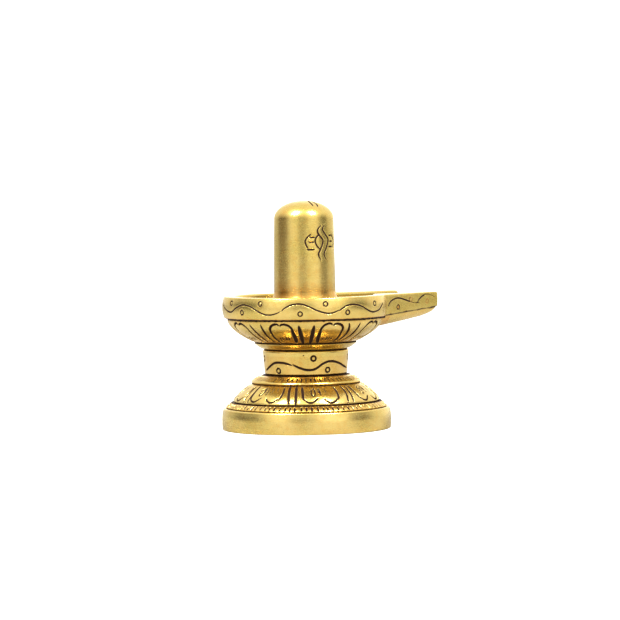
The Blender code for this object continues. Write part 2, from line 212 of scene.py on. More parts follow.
def press(depth, soot_and_shade, across, up, line, half, deep):
    """Presses one stroke into a surface unrolled flat: across the line the floor of the groove is a
    parabola, as wide as the stroke is there, with a low burr beside it. Soot stays in the groove."""
    reach = 4.0 * half.max()
    low = line.min(axis=0) - reach
    high = line.max(axis=0) + reach
    near = (across > low[0]) & (across < high[0]) & (up > low[1]) & (up < high[1])
    if not near.any():
        return
    gap = np.hypot(across[near][:, None] - line[:, 0], up[near][:, None] - line[:, 1])
    best = (gap / half).argmin(axis=1)
    share = gap[np.arange(len(best)), best] / half[best]
    fullness = half[best] / half.max()
    groove = deep * fullness * (np.clip(1 - share ** 2, 0, None) + DISH * np.exp(-(share / 2.2) ** 2))
    groove -= BURR * deep * fullness * np.exp(-((share - 1.4) / 0.35) ** 2)
    old = depth[near]
    depth[near] = np.where((groove > 0) | (old > 0), np.maximum(old, groove), np.minimum(old, groove))
    soot_and_shade[near] = np.maximum(soot_and_shade[near], np.clip((1.3 - share) / 0.6, 0, 1) * np.clip(fullness * 1.6, 0, 1))


def tapered(line, half, bluntness):
    """The half width along a stroke: pointed at both ends, the points shorter as the bluntness rises."""
    run = length_along(line)
    middle = 2 * run / run[-1] - 1
    return half * np.clip(1 - np.abs(middle) ** bluntness, 0.05, None) ** 0.6


def around(angle, middle, radius):
    """How far round a piece a point lies from a middle angle, as a length, by the shorter way."""
    return radius * ((angle - middle + math.pi) % (2 * math.pi) - math.pi)


def chase(angle, radius, up, strokes, punches, radius_at, up_at):
    """Depth and soot at places given by angle, radius and length up. A stroke's points are degrees from
    the front and heights; it is unrolled about its own middle, so that lengths along and across it stay
    true. radius_at and up_at give the radius and the length up at a height."""
    depth = np.zeros(up.shape)
    soot_and_shade = np.zeros(up.shape)
    for points, half, deep, bluntness in strokes:
        line = through(points)
        middle = math.radians(line[:, 0].mean() + FRONT)
        flat = np.column_stack([radius_at(line[:, 1]) * (np.radians(line[:, 0] + FRONT) - middle),
                                up_at(line[:, 1])])
        widths = tapered(flat, CHISEL * half, bluntness)
        press(depth, soot_and_shade, around(angle, middle, radius), up, flat, widths, deep)
    for place, height, size, half, deep in punches:
        flat = arc((0.0, up_at(height)), (size, size), 0, 360, 24)
        across = around(angle, math.radians(place + FRONT), radius)
        press(depth, soot_and_shade, across, up, flat, np.full(len(flat), PUNCH * half), deep)
    return depth, soot_and_shade


def chase_round(angle, outline, strokes, punches):
    """Depth and soot on a turned piece's grid: lengths up are taken along its outline."""
    run = length_along(outline)
    rising = np.maximum.accumulate(outline[:, 1] + 1e-9 * np.arange(len(outline)))
    return chase(angle, outline[:, 0][:, None] + 0 * angle, run[:, None] + 0 * angle, strokes, punches,
                 lambda height: np.interp(height, rising, outline[:, 0]),
                 lambda height: np.interp(height, rising, run))


def turned_piece(name, outline, columns, strokes=(), punches=(), seam_soot_and_shade=(), tone_at=None,
                 waver=0.05, seed=1):
    """A surface of revolution: the radius and height of the outline carried round the axis, then moved
    in along its own normal by the chasing and by a slow waver. seam_soot_and_shade gives heights where
    soot sits in a joint, with how far it spreads up and down and how black it is; where it spreads wide
    under the band it is the joint widened into painted shade. tone_at gives the hue from the angle off
    the front and the height: below 0 greener with tarnish, above 0 browner."""
    outline = np.asarray(outline, float)
    angle = np.linspace(0, 2 * math.pi, columns, endpoint=False)[None, :]
    depth, soot_and_shade = chase_round(angle, outline, strokes, punches)
    slope = np.gradient(outline, axis=0)
    slope /= np.maximum(np.hypot(*slope.T), 1e-9)[:, None]
    height = outline[:, 1][:, None] + 0 * angle
    depth = depth + waver * ripple(angle, height, seed)
    tone = np.zeros(height.shape)
    if tone_at:
        turn = (np.degrees(angle) - FRONT + 180) % 360 - 180
        tone = tone_at(turn, height) * (0.6 + 0.8 * ripple(5 * angle, height, seed + 3, 12))
    for seam, spread, black in seam_soot_and_shade:
        uneven = 0.15 + 1.7 * ripple(7 * angle, 2 * height, seed + 5, 14) ** 1.5
        gap = np.abs(height - seam)
        soot_and_shade = np.maximum(soot_and_shade, black * np.clip(1.5 - gap / (spread * uneven), 0, 1))
        tone = np.maximum(tone, 0.5 * np.clip(1.2 - gap / (2.2 * spread), 0, 1))
    radius = outline[:, 0][:, None] - depth * slope[:, 1][:, None]
    height = height + depth * slope[:, 0][:, None]
    grid = np.stack([radius * np.cos(angle), radius * np.sin(angle), height], axis=-1)
    piece = closed_skin(name, grid, (0, 0, outline[0, 1]), (0, 0, outline[-1, 1]))
    set_values(piece, "soot_and_shade", np.append(soot_and_shade.ravel(), [0, 0]))
    set_values(piece, "tone", np.append(tone.ravel(), [0, 0]))
    return piece


def set_values(piece, name, values):
    """A value for each point of the piece, under a name that the material reads."""
    layer = piece.data.attributes.get(name) or piece.data.attributes.new(name, "FLOAT", "POINT")
    layer.data.foreach_set("value", np.asarray(values, np.float32))


def finished(piece, material):
    """Smooth shading with sharp edges kept, the material, and the piece's place in the frame."""
    piece.data.shade_smooth()
    piece.data.set_sharp_from_angle(angle=math.radians(SHARP_ANGLE))
    piece.data.materials.clear()
    piece.data.materials.append(material)
    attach(piece, "root")
    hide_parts(CAST_NODE)


# ---- The rings of the pedestal ----

def radius_between(radii, share, power=1.0):
    """The radius at a share of a ring's height, from its lower to its upper edge: the power of the share
    bends the side."""
    return radii[0] + (radii[1] - radii[0]) * share ** power


def ring_outline(radius_at, bottom, top):
    """The side of a ring between two seams. At each end it turns in to the seam's bottom: by a quarter
    ellipse at the edge, then on to a point inside the next ring."""
    share = np.linspace(0, 1, 90)
    low = bottom + SEAM_HALF_HEIGHT
    high = top - SEAM_HALF_HEIGHT
    side = np.column_stack([radius_at(share), low + (high - low) * share])
    near_end = np.clip(1 - np.minimum(share, 1 - share) * (high - low) / SEAM_EDGE_RUN, 0, 1)
    side[:, 0] -= SEAM_EDGE_INSET * (1 - np.sqrt(1 - near_end ** 2))
    below = [(side[0, 0] - inward, bottom + up) for inward, up in SEAM_TURN_IN]
    above = [(side[-1, 0] - inward, top - up) for inward, up in SEAM_TURN_IN[::-1]]
    return even(np.vstack([below, side, above]), FINE)


def bead_outline(radius, bottom, top, below, above, undercut):
    """The side of a ring of beads, from radii at even steps up it. Its lowest share, the undercut, draws
    in by half a millimetre, and both ends go on to a radius hidden in the next ring."""
    share = np.linspace(0, 1, len(radius))
    drawn_in = radius - 0.5 * np.clip(undercut - share, 0, None) / undercut
    side = np.column_stack([drawn_in, bottom + (top - bottom) * share])
    return even(np.vstack([[(below, bottom - 0.4)], side, [(above, top + 0.1)]]), FINE)


def foot(material):
    """A plain turned disc with softened edges. Its side is fullest near mid height, and falls off above
    and below by the square of the distance."""
    inner = FOOT_RADIUS - FOOT_EDGE
    height = np.linspace(0.5, LOW_BEADS_Z - FOOT_EDGE, 20)
    swell = np.clip(np.abs(height - 3.4) - 1.0, 0, None)
    side = np.column_stack([FOOT_RADIUS - 0.045 * swell ** 2, height])
    outline = np.vstack([
        [(inner + 0.2, 0.0)],
        arc((side[0, 0] - 0.45, 0.45), (0.45, 0.45), -80, -5, 5),
        side,
        arc((side[-1, 0] - FOOT_EDGE, side[-1, 1]), (FOOT_EDGE, FOOT_EDGE), 10, 90, 8),
        [(29.0, LOW_BEADS_Z)],
    ])
    piece = turned_piece("foot", even(outline, PLAIN), 480, waver=0.10, seed=3)
    finished(piece, material)


def bead_strokes(count, low, high, half, deep, seed):
    """A notch down between each two beads, each a little off its place."""
    dice = np.random.default_rng(seed)
    strokes = []
    for bead in range(count):
        place = 360.0 * bead / count + dice.uniform(-0.5, 0.5)
        wide = half * dice.uniform(0.7, 1.15)
        strokes.append((((place, low + dice.uniform(0, 0.3)), (place + dice.uniform(-0.3, 0.3), high)),
                        wide, deep, 6))
    return strokes


def low_beads(material):
    """The wide ring of beads on the foot, a low arch in section."""
    share = np.linspace(0, 1, 30)
    radius = radius_between(LOW_BEADS_RADII, share) + 0.3 * np.sin(math.pi * share)
    outline = bead_outline(radius, LOW_BEADS_Z, LOTUS_Z, 29.6, 26.5, 0.18)
    strokes = bead_strokes(LOW_BEADS, LOW_BEADS_Z + 0.4, LOTUS_Z - 0.2, 0.25, 0.42, 21)
    piece = turned_piece(
        "low_beads", outline, LOW_BEADS * 11, strokes,
        seam_soot_and_shade=((LOW_BEADS_Z, 0.24, 0.85), (LOTUS_Z, 0.12, 0.8)),
        tone_at=lambda turn, height: 0.25, seed=4)
    finished(piece, material)


def high_beads(material):
    """The narrow ring of beads under the waist: steep below, flatter towards its top."""
    radius = radius_between(HIGH_BEADS_RADII, np.linspace(0, 1, 40), 2.2)
    outline = bead_outline(radius, HIGH_BEADS_Z, WAIST_Z, 19.8, 14.5, 0.16)
    strokes = bead_strokes(HIGH_BEADS, HIGH_BEADS_Z + 1.2, WAIST_Z - 0.45, 0.20, 0.30, 22)
    # Browner towards the top of the ring: painted reflection of the bowl's shaded underside
    piece = turned_piece(
        "high_beads", outline, HIGH_BEADS * 11, strokes,
        seam_soot_and_shade=((HIGH_BEADS_Z, 0.20, 0.9), (WAIST_Z, 0.15, 0.9)),
        tone_at=lambda turn, height: 0.4 * np.clip((height - HIGH_BEADS_Z - 1.0) / 2, 0, 1), seed=5)
    finished(piece, material)


# Lines of one lotus petal that hangs down. A stroke is its points, as degrees from the petal's middle and
# heights, its half width, its depth and its bluntness
LOTUS_PETAL = (
    (((-15.3, 17.2), (-14.6, 15.6), (-14.0, 14.2), (-13.3, 13.1), (-12.0, 12.3)), 0.38, 0.40, 4),
    (((-13.2, 13.0), (-11.6, 12.2), (-9.2, 11.7), (-6.2, 11.8), (-3.4, 12.7), (-1.0, 13.4)), 0.27, 0.32, 4),
    (((3.4, 13.3), (5.2, 12.3), (8.6, 11.6), (12.6, 12.1), (15.2, 13.2)), 0.27, 0.32, 4),
    (((16.6, 17.0), (17.4, 15.6), (17.2, 14.4), (16.4, 13.2), (14.8, 12.4)), 0.32, 0.36, 4),
    (((-4.2, 16.6), (-6.2, 15.9), (-6.5, 14.9), (-5.2, 14.0), (-3.4, 14.6), (-3.3, 15.8), (-4.0, 16.5)),
     0.19, 0.24, 8),
    (((0.5, 16.4), (0.9, 15.2), (1.4, 14.1)), 0.18, 0.22, 4),
)

# The pair of lines between two lotus petals, the pair in front, and the pair to the right of it
LOTUS_PAIR = (
    ((-1.4, 17.3), (-0.6, 15.2), (-0.4, 13.0), (-0.6, 10.9)),
    ((5.0, 17.3), (5.2, 15.0), (5.0, 13.0), (4.8, 10.9)),
)
FRONT_PAIR = (
    ((-1.8, 17.4), (-1.0, 15.2), (0.0, 13.0), (0.8, 10.7)),
    ((4.8, 17.4), (5.6, 15.0), (6.0, 13.0), (6.2, 10.6)),
)
RIGHT_PAIR = (
    ((-0.2, 17.3), (0.3, 15.2), (-1.2, 13.0), (-3.2, 10.8)),
    ((5.8, 17.1), (4.6, 14.6), (3.6, 12.8), (2.7, 11.2)),
)

# Lines of one bowl petal that stands up, from its left foot over its notched top to its right foot
BOWL_LEFT = ((-7.0, 33.1), (-8.2, 34.4), (-8.4, 36.6), (-7.8, 38.6), (-5.8, 40.0), (-3.2, 40.6),
             (-0.8, 40.6), (0.5, 39.9))
BOWL_RIGHT = ((10.4, 33.2), (11.0, 34.6), (10.4, 36.8), (9.7, 38.8), (7.6, 40.0), (4.8, 40.5),
              (2.2, 40.4), (0.9, 39.7))
BOWL_TICKS = (-3.4, -0.7, 2.0, 4.8)

# The two gouges between bowl petals, the broader two in front, and the two to the right of those
BOWL_GOUGES = (
    ((-5.6, 40.9), (-3.4, 38.0), (-2.6, 35.5), (-2.6, 33.3)),
    ((5.4, 40.9), (5.6, 38.2), (5.4, 35.5), (6.2, 33.3)),
)
FRONT_GOUGES = (
    ((-4.9, 40.4), (-4.2, 38.2), (-3.4, 35.6), (-2.6, 32.9)),
    ((6.7, 40.4), (6.1, 38.2), (5.6, 35.6), (5.1, 32.9)),
)
RIGHT_GOUGES = (
    ((-6.4, 41.0), (-4.2, 38.2), (-3.5, 36.1), (-5.2, 33.5)),
    ((4.6, 41.0), (3.9, 38.0), (3.2, 35.5), (-1.6, 33.5)),
)


def shifted(points, turn, lift=0.0, spread=1.0):
    """A stroke's points turned round to a petal or gap, lifted, and spread about its middle."""
    return tuple((turn + spread * along, up + lift) for along, up in points)


def lotus(material):
    """Petals that hang down and end in two scallops, with a pair of lines between each two."""
    outline = ring_outline(lambda share: radius_between(LOTUS_RADII, share, 1.5), LOTUS_Z, HIGH_BEADS_Z)
    dice = np.random.default_rng(31)
    strokes = []
    for petal in range(LOTUS_PETALS):
        middle = LOTUS_TURN + 360.0 / LOTUS_PETALS * petal
        slip = {0: 0.0, 1: 6.0, 2: 3.0, LOTUS_PETALS - 1: -4.2}.get(petal, dice.uniform(-1.2, 1.2))
        strength = {0: 1.0, 1: 0.9, LOTUS_PETALS - 1: 0.9}.get(petal, dice.uniform(0.7, 0.9))
        for points, half, deep, bluntness in LOTUS_PETAL:
            moved = shifted(points, middle + slip, dice.uniform(-0.12, 0.12), dice.uniform(0.96, 1.04))
            strokes.append((moved, half * strength, deep, bluntness))
        pair = {LOTUS_PETALS - 1: FRONT_PAIR, 0: RIGHT_PAIR}.get(petal, LOTUS_PAIR)
        half = {LOTUS_PETALS - 1: 0.38, 0: 0.30}.get(petal, dice.uniform(0.24, 0.30))
        turn = middle + 180.0 / LOTUS_PETALS + {0: 3.2, 1: 3.4, LOTUS_PETALS - 1: -3.2}.get(petal, -1.8)
        strokes += [(shifted(points, turn), half, 0.40, 7) for points in pair]
        for ray in range(4):
            place = middle + slip + dice.uniform(5, 11) - 4.5 * ray
            top = dice.uniform(16.6, 17.0)
            points = ((place, top), (place + 0.5, top - 0.9), (place + 0.8, top - dice.uniform(1.6, 2.4)))
            strokes.append((points, 0.11, 0.10, 3))
    # Browner towards the top of the ring: painted reflection of the bowl's shaded underside
    piece = turned_piece(
        "lotus", outline, 960, strokes,
        seam_soot_and_shade=((HIGH_BEADS_Z, 0.22, 0.95), (LOTUS_Z, 0.16, 0.8)),
        tone_at=lambda turn, height: (height - 15.0) / 9, seed=6)
    finished(piece, material)


# The waist's wave as seen in front, in two chisel strokes, and its punched rings: degrees from the front,
# height, size, half width and depth
WAIST_FRONT_STROKES = (
    (((-74.4, 22.3), (-66.0, 23.2), (-57.5, 24.3), (-49.0, 25.4), (-41.0, 25.75), (-30.0, 25.55),
      (-22.0, 25.0), (-18.0, 24.6)), 0.30, 0.34, 6),
    (((-19.5, 25.3), (-14.0, 24.5), (-7.3, 23.7), (3.0, 22.95), (13.4, 23.4), (24.3, 25.3), (36.2, 26.1),
      (50.3, 25.3), (64.0, 23.9), (78.0, 22.9)), 0.30, 0.34, 8),
)
WAIST_PUNCHES = (
    (10.4, 27.3, 0.92, 0.27, 0.30),
    (-41.0, 22.6, 0.92, 0.27, 0.30),
    (31.4, 22.85, 0.90, 0.26, 0.28),
    (-77.0, 27.0, 0.9, 0.24, 0.26),
    (80.0, 27.1, 0.9, 0.24, 0.26),
    (-3.0, 28.5, 0.06, 0.14, 0.15),
    *((place, height, 0.9, 0.22, 0.24) for place, height in
      ((102.0, 22.7), (154.0, 27.2), (174.0, 22.7), (226.0, 27.2), (247.0, 22.7))),
)


def waist(material):
    """A slightly flaring neck with a chased wave, a cosine round the back, and a ring in each bay."""
    outline = ring_outline(lambda share: radius_between(WAIST_RADII, share), WAIST_Z, COLLAR_Z)
    back = [(place, 24.4 + 1.45 * math.cos(math.radians(WAIST_WAVES * (place - 38.2))))
            for place in range(77, 290, 9)]
    strokes = [*WAIST_FRONT_STROKES, (back, 0.22, 0.30, 12)]
    piece = turned_piece(
        "waist", outline, 620, strokes, WAIST_PUNCHES,
        seam_soot_and_shade=((WAIST_Z, 0.17, 0.9), (COLLAR_Z, 0.22, 0.85)),
        tone_at=lambda turn, height: 0.25 * np.sign(28 - height), waver=0.08, seed=7)
    finished(piece, material)


def collar(material):
    """A plain moulding that flares out under the bowl."""
    outline = ring_outline(lambda share: radius_between(COLLAR_RADII, share, 0.8), COLLAR_Z, BOWL_Z)
    piece = turned_piece(
        "collar", outline, 480,
        seam_soot_and_shade=((COLLAR_Z, 0.18, 0.85), (BOWL_Z, 0.22, 0.95)),
        waver=0.06, seed=8)
    finished(piece, material)


def bowl(material):
    """Petals that stand up with a notched top, with gouges between them."""
    outline = ring_outline(lambda share: radius_between(BOWL_RADII, 1 - (1 - share) ** 1.85),
                           BOWL_Z, BAND_Z)
    dice = np.random.default_rng(41)
    strokes = []
    for petal in range(BOWL_PETALS):
        middle = BOWL_TURN + 360.0 / BOWL_PETALS * petal
        for points in (BOWL_LEFT, BOWL_RIGHT):
            strokes.append((shifted(points, middle, dice.uniform(-0.1, 0.1)), 0.33, 0.46, 9))
        if petal == 0:
            strokes.append((shifted(BOWL_LEFT[:4], middle), 0.52, 0.55, 3))
        if petal == BOWL_PETALS - 1:
            strokes.append((shifted(BOWL_RIGHT[:4], middle), 0.56, 0.55, 3))
        for tick in BOWL_TICKS:
            place = middle + tick + dice.uniform(-0.5, 0.5)
            top = dice.uniform(35.3, 35.9)
            strokes.append((((place + 0.3, top), (place - 0.2, top - 1.3)), 0.19, 0.26, 3))
        gouges = {BOWL_PETALS - 1: FRONT_GOUGES, 0: RIGHT_GOUGES}.get(petal, BOWL_GOUGES)
        half = 0.57 if petal == BOWL_PETALS - 1 else 0.38
        turn = middle + 180.0 / BOWL_PETALS
        strokes += [(shifted(points, turn), half, 0.36 + 0.33 * half, 3) for points in gouges]
    # Browner towards the bowl's foot, which faces down: painted reflection of the brass below it
    piece = turned_piece(
        "bowl", outline, 1040, strokes,
        # The band's seam spreads wide: a dark joint widened into painted shade under the band's overhang
        seam_soot_and_shade=((BAND_Z, 0.62, 1.0), (BOWL_Z, 0.26, 1.0)),
        tone_at=lambda turn, height: (39.0 - height) / 15, seed=9)
    finished(piece, material)


# ---- Basin, band and spout ----

# The wave on the band as separate chisel strokes, degrees from the front and heights
BAND_FRONT_STROKES = (
    ((-112.0, 44.6), (-104.0, 44.6), (-95.0, 46.8), (-87.0, 48.2), (-83.3, 48.0), (-71.4, 45.8),
     (-62.5, 45.0), (-55.7, 46.5), (-48.6, 47.8), (-41.2, 47.4), (-34.5, 45.7), (-29.4, 44.5),
     (-24.5, 44.2), (-19.5, 44.9), (-15.6, 45.9)),
    ((-16.2, 45.4), (-14.3, 46.6), (-9.0, 47.95), (-2.8, 48.2), (2.4, 47.3), (8.5, 45.7), (15.7, 44.6),
     (20.5, 45.0), (24.0, 45.9)),
    ((23.4, 45.4), (28.9, 47.1), (34.0, 47.65), (39.5, 47.3), (45.0, 46.2)),
    ((43.2, 46.9), (45.8, 45.9), (53.4, 44.5), (61.6, 45.0), (66.0, 46.4), (69.5, 47.5)),
)
BAND_PUNCHES = ((-61.5, 48.3), (-32.2, 48.3), (14.1, 48.1), (56.2, 47.6),
                (-48.6, 45.0), (-3.3, 44.55), (30.4, 44.8))

# The wave on the spout's near side, as distance along X and height, its punched rings with their
# strength, and two small nicks
SPOUT_NEAR_STROKES = (
    ((22.0, 45.6), (24.2, 47.8), (28.2, 48.8), (32.6, 48.0), (36.6, 46.9), (39.2, 46.6), (41.4, 46.8)),
    ((39.9, 46.8), (42.6, 48.7), (45.4, 49.5), (48.6, 49.2), (51.2, 48.2)),
)
SPOUT_PUNCHES = ((28.4, 45.4, 1.0), (35.9, 48.0, 0.50), (46.0, 47.0, 0.45))
SPOUT_NICKS = ((23.8, 42.8), (33.2, 43.5))


def band_radius_at(height):
    """The band's radius: it falls off towards both edges by a power of the distance from mid height."""
    share = (np.asarray(height) - BAND_Z) / (RIM_Z - BAND_Z)
    return BAND_RADIUS - BAND_LEAN * np.abs(2 * share - 1) ** 2.5


def band_chasing():
    """Strokes and punches of the whole band: as seen in front, and a regular wave round the back."""
    strokes = [(points, 0.23, 0.26, 9) for points in BAND_FRONT_STROKES]
    wave = lambda place: 46.2 + 1.85 * math.cos(math.radians(BAND_WAVES * (place + 4.1)))
    back = [(place, wave(place)) for place in np.arange(-183.0, -108.0, 4.0)]
    strokes.append((back, 0.21, 0.24, 12))
    punches = [(place, height, 0.82, 0.21, 0.22) for place, height in BAND_PUNCHES]
    punches += [(place, 48.3, 0.82, 0.20, 0.22) for place in (-104.1, -144.1, -177.0)]
    punches += [(place, 44.7, 0.82, 0.20, 0.22) for place in (-86.0, -124.1, -164.1)]
    punches += [(70.2, 44.5, 0.05, 0.22, 0.3), (70.6, 45.9, 0.05, 0.22, 0.3)]
    return strokes, punches


def band_body():
    """The band and what lies inside it, as one turned body with a flat top."""
    upper = RIM_Z - BAND_EDGE
    height = np.linspace(BAND_Z + 0.25, upper, 60)
    side = np.column_stack([band_radius_at(height), height])
    edge = arc((side[-1, 0] - BAND_EDGE, upper), (BAND_EDGE, BAND_EDGE), 0, 90, 6)
    low = [(27.6, BAND_Z - 0.9), (29.3, BAND_Z - 0.35), (side[0, 0] - 0.15, BAND_Z + 0.08)]
    outline = even(np.vstack([low, side, edge]), FINE)
    strokes, punches = band_chasing()
    return turned_piece("basin", outline, 1040, strokes, punches, waver=0.04, seed=10)


def spout_half_width_at(x):
    """Half the spout's width, which tapers evenly to the lip."""
    taper = (SPOUT_ROOT_HALF_WIDTH - SPOUT_LIP_HALF_WIDTH) / (SPOUT_REACH - SPOUT_ROOT_X)
    return SPOUT_LIP_HALF_WIDTH + (SPOUT_REACH - np.asarray(x, float)) * taper


def spout_bottom_at(x):
    """Height of the lower edge of the spout's side, which rises evenly to the lip."""
    share = (np.asarray(x, float) - SPOUT_ROOT_X) / (SPOUT_REACH - SPOUT_ROOT_X)
    return RIM_Z - SPOUT_ROOT_HEIGHT + (SPOUT_ROOT_HEIGHT - SPOUT_LIP_HEIGHT) * share


def keel_depth_at(x):
    """How far the keel hangs below the spout's side."""
    return np.interp(x, KEEL_X, KEEL_DEPTHS)


def spout_chasing(x, height, near):
    """Depth and soot on a side of the spout, at distances along X and heights."""
    depth = np.zeros(x.shape)
    soot_and_shade = np.zeros(x.shape)
    if near:
        lines = SPOUT_NEAR_STROKES
        punches = SPOUT_PUNCHES
    else:
        place = np.linspace(22.5, 49.5, 16)
        lines = (np.column_stack([place, 47.3 + 1.4 * np.cos(2 * math.pi * (place - 28.1) / 17.3)]),)
        punches = ((28.1, 45.2, 0.8), (36.8, 48.3, 0.8), (45.4, 45.8, 0.8))
    for points in lines:
        line = through(points)
        press(depth, soot_and_shade, x, height, line, tapered(line, CHISEL * 0.23, 7), 0.26)
    for place, level, strength in punches:
        line = arc((place, level), (0.82, 0.82), 0, 360, 24)
        press(depth, soot_and_shade, x, height, line, np.full(len(line), 0.22 * strength ** 0.5), 0.24 * strength)
    fade = 1.0
    if near:
        fade = np.interp(x, (34.6, 36.0, 39.6, 40.4, 43.6, 45.2), (1.0, 0.50, 0.50, 1.0, 1.0, 0.48))
        for place, level in SPOUT_NICKS:
            soot_and_shade = np.maximum(soot_and_shade, np.clip(1.6 - np.hypot((x - place) / 1.3, height - level) / 0.35, 0, 1))
    return depth, soot_and_shade * fade


def spout_body():
    """The spout and its keel: a closed cross section carried along X.

    Each section runs from the middle of the top over one side, down to the side's lower edge, in by the
    keel's inset, down the keel and across it, and up the other side the same way. Near the lip the
    section's top comes down and its bottom up by a quarter circle.
    """
    low_rows = np.linspace(0, 1, 7)
    side_rows = np.linspace(0, 1, 40)
    outward = np.array([[0.35, 0.7]])
    inward = np.array([[0.8, 0.4]])
    stations = np.concatenate([np.arange(SPOUT_ROOT_X - SPOUT_SINK, SPOUT_REACH - 1.2, 0.2),
                               SPOUT_REACH - 1.1 * (1 - np.sin(np.linspace(0, math.pi / 2, 9)))])
    x = stations[:, None]
    inside = np.clip((x - (SPOUT_REACH - LIP_ROUNDING)) / LIP_ROUNDING, 0, 1)
    fall = LIP_ROUNDING * (1 - np.sqrt(np.clip(1 - inside ** 2, 0, 1)))
    top = RIM_Z - 0.03 - fall
    bottom = spout_bottom_at(x) + 0.9 * fall
    half = spout_half_width_at(x) - 0.35 * fall
    keel = keel_depth_at(x) * (1 - inside)
    corner = np.radians(np.linspace(90, 0, 6))[None, :]
    rounded = np.stack([half - SPOUT_EDGE + SPOUT_EDGE * np.cos(corner),
                        top - SPOUT_EDGE + SPOUT_EDGE * np.sin(corner)], axis=-1)
    level = top - SPOUT_EDGE + (bottom + 0.3 - top + SPOUT_EDGE) * side_rows[None, 1:]
    sides = []
    for near in (False, True):
        depth, soot_and_shade = spout_chasing(x + 0 * level, level, near)
        bulge = 0.12 * np.sin(math.pi * side_rows[None, 1:]) + 0 * x
        side = np.stack([half - depth - 0.12 + bulge, level], axis=-1)
        under = np.stack([half - 0.25 + 0 * x, bottom + 0.08 + 0 * x], axis=-1)
        shelf = np.stack([half - KEEL_INSET + 0.05, bottom + 0.10 + 0 * x], axis=-1)
        slope = KEEL_SIDE_SLOPE * keel / KEEL_DEPTHS[0]
        drop = np.stack([half - KEEL_INSET - slope * low_rows[None, :] ** 1.6,
                         bottom - keel * low_rows[None, :]], axis=-1)
        flat = np.stack([(half - KEEL_INSET - slope) * inward, bottom - keel + 0 * inward], axis=-1)
        crown = np.stack([half * outward, top + 0 * outward], axis=-1)
        sides.append(np.concatenate([crown, rounded, side, under, shelf, drop, flat], axis=1))
    far, near = sides
    near = near[:, ::-1] * np.array([-1.0, 1.0])
    loop = np.concatenate([far, near], axis=1)
    grid = np.concatenate([np.repeat(x[:, :, None], loop.shape[1], axis=1), loop], axis=-1)[:, ::-1]
    middle = (RIM_Z + spout_bottom_at(SPOUT_ROOT_X)) / 2
    return closed_skin("spout", grid, (stations[0], 0, middle), (SPOUT_REACH, 0, RIM_Z - 3.2))


def basin_tool():
    """What is hollowed out of the basin: a disc with rounded floor corners that flares at the rim."""
    floor_z = RIM_Z - BASIN_DEPTH
    wide = BASIN_RADIUS + BASIN_FLARE
    outline = np.vstack([
        [(BASIN_RADIUS - BASIN_FILLET, floor_z)],
        arc((BASIN_RADIUS - BASIN_FILLET, floor_z + BASIN_FILLET), (BASIN_FILLET, BASIN_FILLET), -85, 0, 8),
        arc((wide, RIM_Z - BASIN_FLARE), (BASIN_FLARE, BASIN_FLARE), 180, 95, 9),
        [(wide + 0.02, RIM_Z + 0.3), (wide + 0.02, RIM_Z + 3)],
    ])
    return turned_piece("basin tool", outline, 360, seed=12)


def channel_tool():
    """What is hollowed out of the spout: a trough with rounded lower corners that flares at the rim."""
    floor_z = RIM_Z - CHANNEL_DEPTH
    half = CHANNEL_HALF_WIDTH
    wide = half + CHANNEL_FLARE
    right = np.vstack([
        [(half - 1.2 * CHANNEL_CORNER, floor_z)],
        arc((half - CHANNEL_CORNER, floor_z + CHANNEL_CORNER), (CHANNEL_CORNER, CHANNEL_CORNER), -80, 0, 6),
        arc((wide, RIM_Z - CHANNEL_FLARE), (CHANNEL_FLARE, CHANNEL_FLARE), 180, 95, 9),
        [(wide + 0.02, RIM_Z + 0.3), (wide + 0.02, RIM_Z + 3)],
    ])
    loop = np.vstack([right, right[::-1] * np.array([-1.0, 1.0])])
    stations = np.linspace(CHANNEL_START, SPOUT_REACH + 3, 60)
    along, across = np.meshgrid(stations, loop[:, 0], indexing="ij")
    grid = np.stack([along, across, 0 * along + loop[:, 1]], axis=-1)
    return closed_skin("channel tool", grid, (stations[0], 0, RIM_Z), (stations[-1], 0, RIM_Z))


def joined(piece, other, operation):
    """The piece with the other one added or cut away, as a plain mesh; the other one is removed."""
    change = piece.modifiers.new(other.name, "BOOLEAN")
    change.operation = operation
    change.solver = "MANIFOLD"
    change.object = other
    graph = bpy.context.evaluated_depsgraph_get()
    mesh = bpy.data.meshes.new_from_object(piece.evaluated_get(graph))
    piece.modifiers.clear()
    piece.data = mesh
    bpy.data.objects.remove(other)


def basin(material):
    """Band, basin and spout as one skin, joined before the basin and the channel are hollowed out."""
    piece = band_body()
    joined(piece, spout_body(), "UNION")
    joined(piece, basin_tool(), "DIFFERENCE")
    joined(piece, channel_tool(), "DIFFERENCE")
    count = len(piece.data.vertices)
    place = np.empty(count * 3, np.float32)
    piece.data.vertices.foreach_get("co", place)
    place = place.reshape(-1, 3) / MM
    set_values(piece, "soot_and_shade", basin_soot_and_shade(place))
    set_values(piece, "tone", basin_tone(place))
    finished(piece, material)


def basin_tone(place):
    """Greener on the spout's flat sides, browner along the keel, and painted brown shade in the basin's
    hollow and under the band.
    """
    x, y, height = place.T
    radius = np.hypot(x, y)
    half = spout_half_width_at(x)
    on_side = (x > 21) & (np.abs(np.abs(y) - half) < 0.7) & (height > spout_bottom_at(x) + 0.2)
    tone = np.where(on_side, -0.35, -0.1)
    for spot, level, strength in SPOUT_PUNCHES:
        gap = np.hypot(x - spot, height - level)
        brown = np.where(gap < 0.7, 1.3, 0) if strength == 1.0 else 1.1 * np.exp(-((gap - 0.8) / 0.4) ** 2)
        tone = np.where(on_side & (y < 0), np.maximum(tone, brown - 0.35), tone)
    tone = np.where((height < spout_bottom_at(x) + 0.1) & (x > 20), 0.2, tone)
    # Browner inside the basin, more away from the spout: painted shade in the hollow
    inside = (height < RIM_Z - 1.3) & ((radius < 27.0) | ((x > 20) & (np.abs(y) < 11.2)))
    tone = np.where(inside, np.interp(x, (-20, 40), (0.4, 0.1)), tone)
    # Browner just under the band: painted shade under its overhang
    return np.where((height < BAND_Z + 0.5) & (radius > 27) & (x < 24), 0.7, tone)


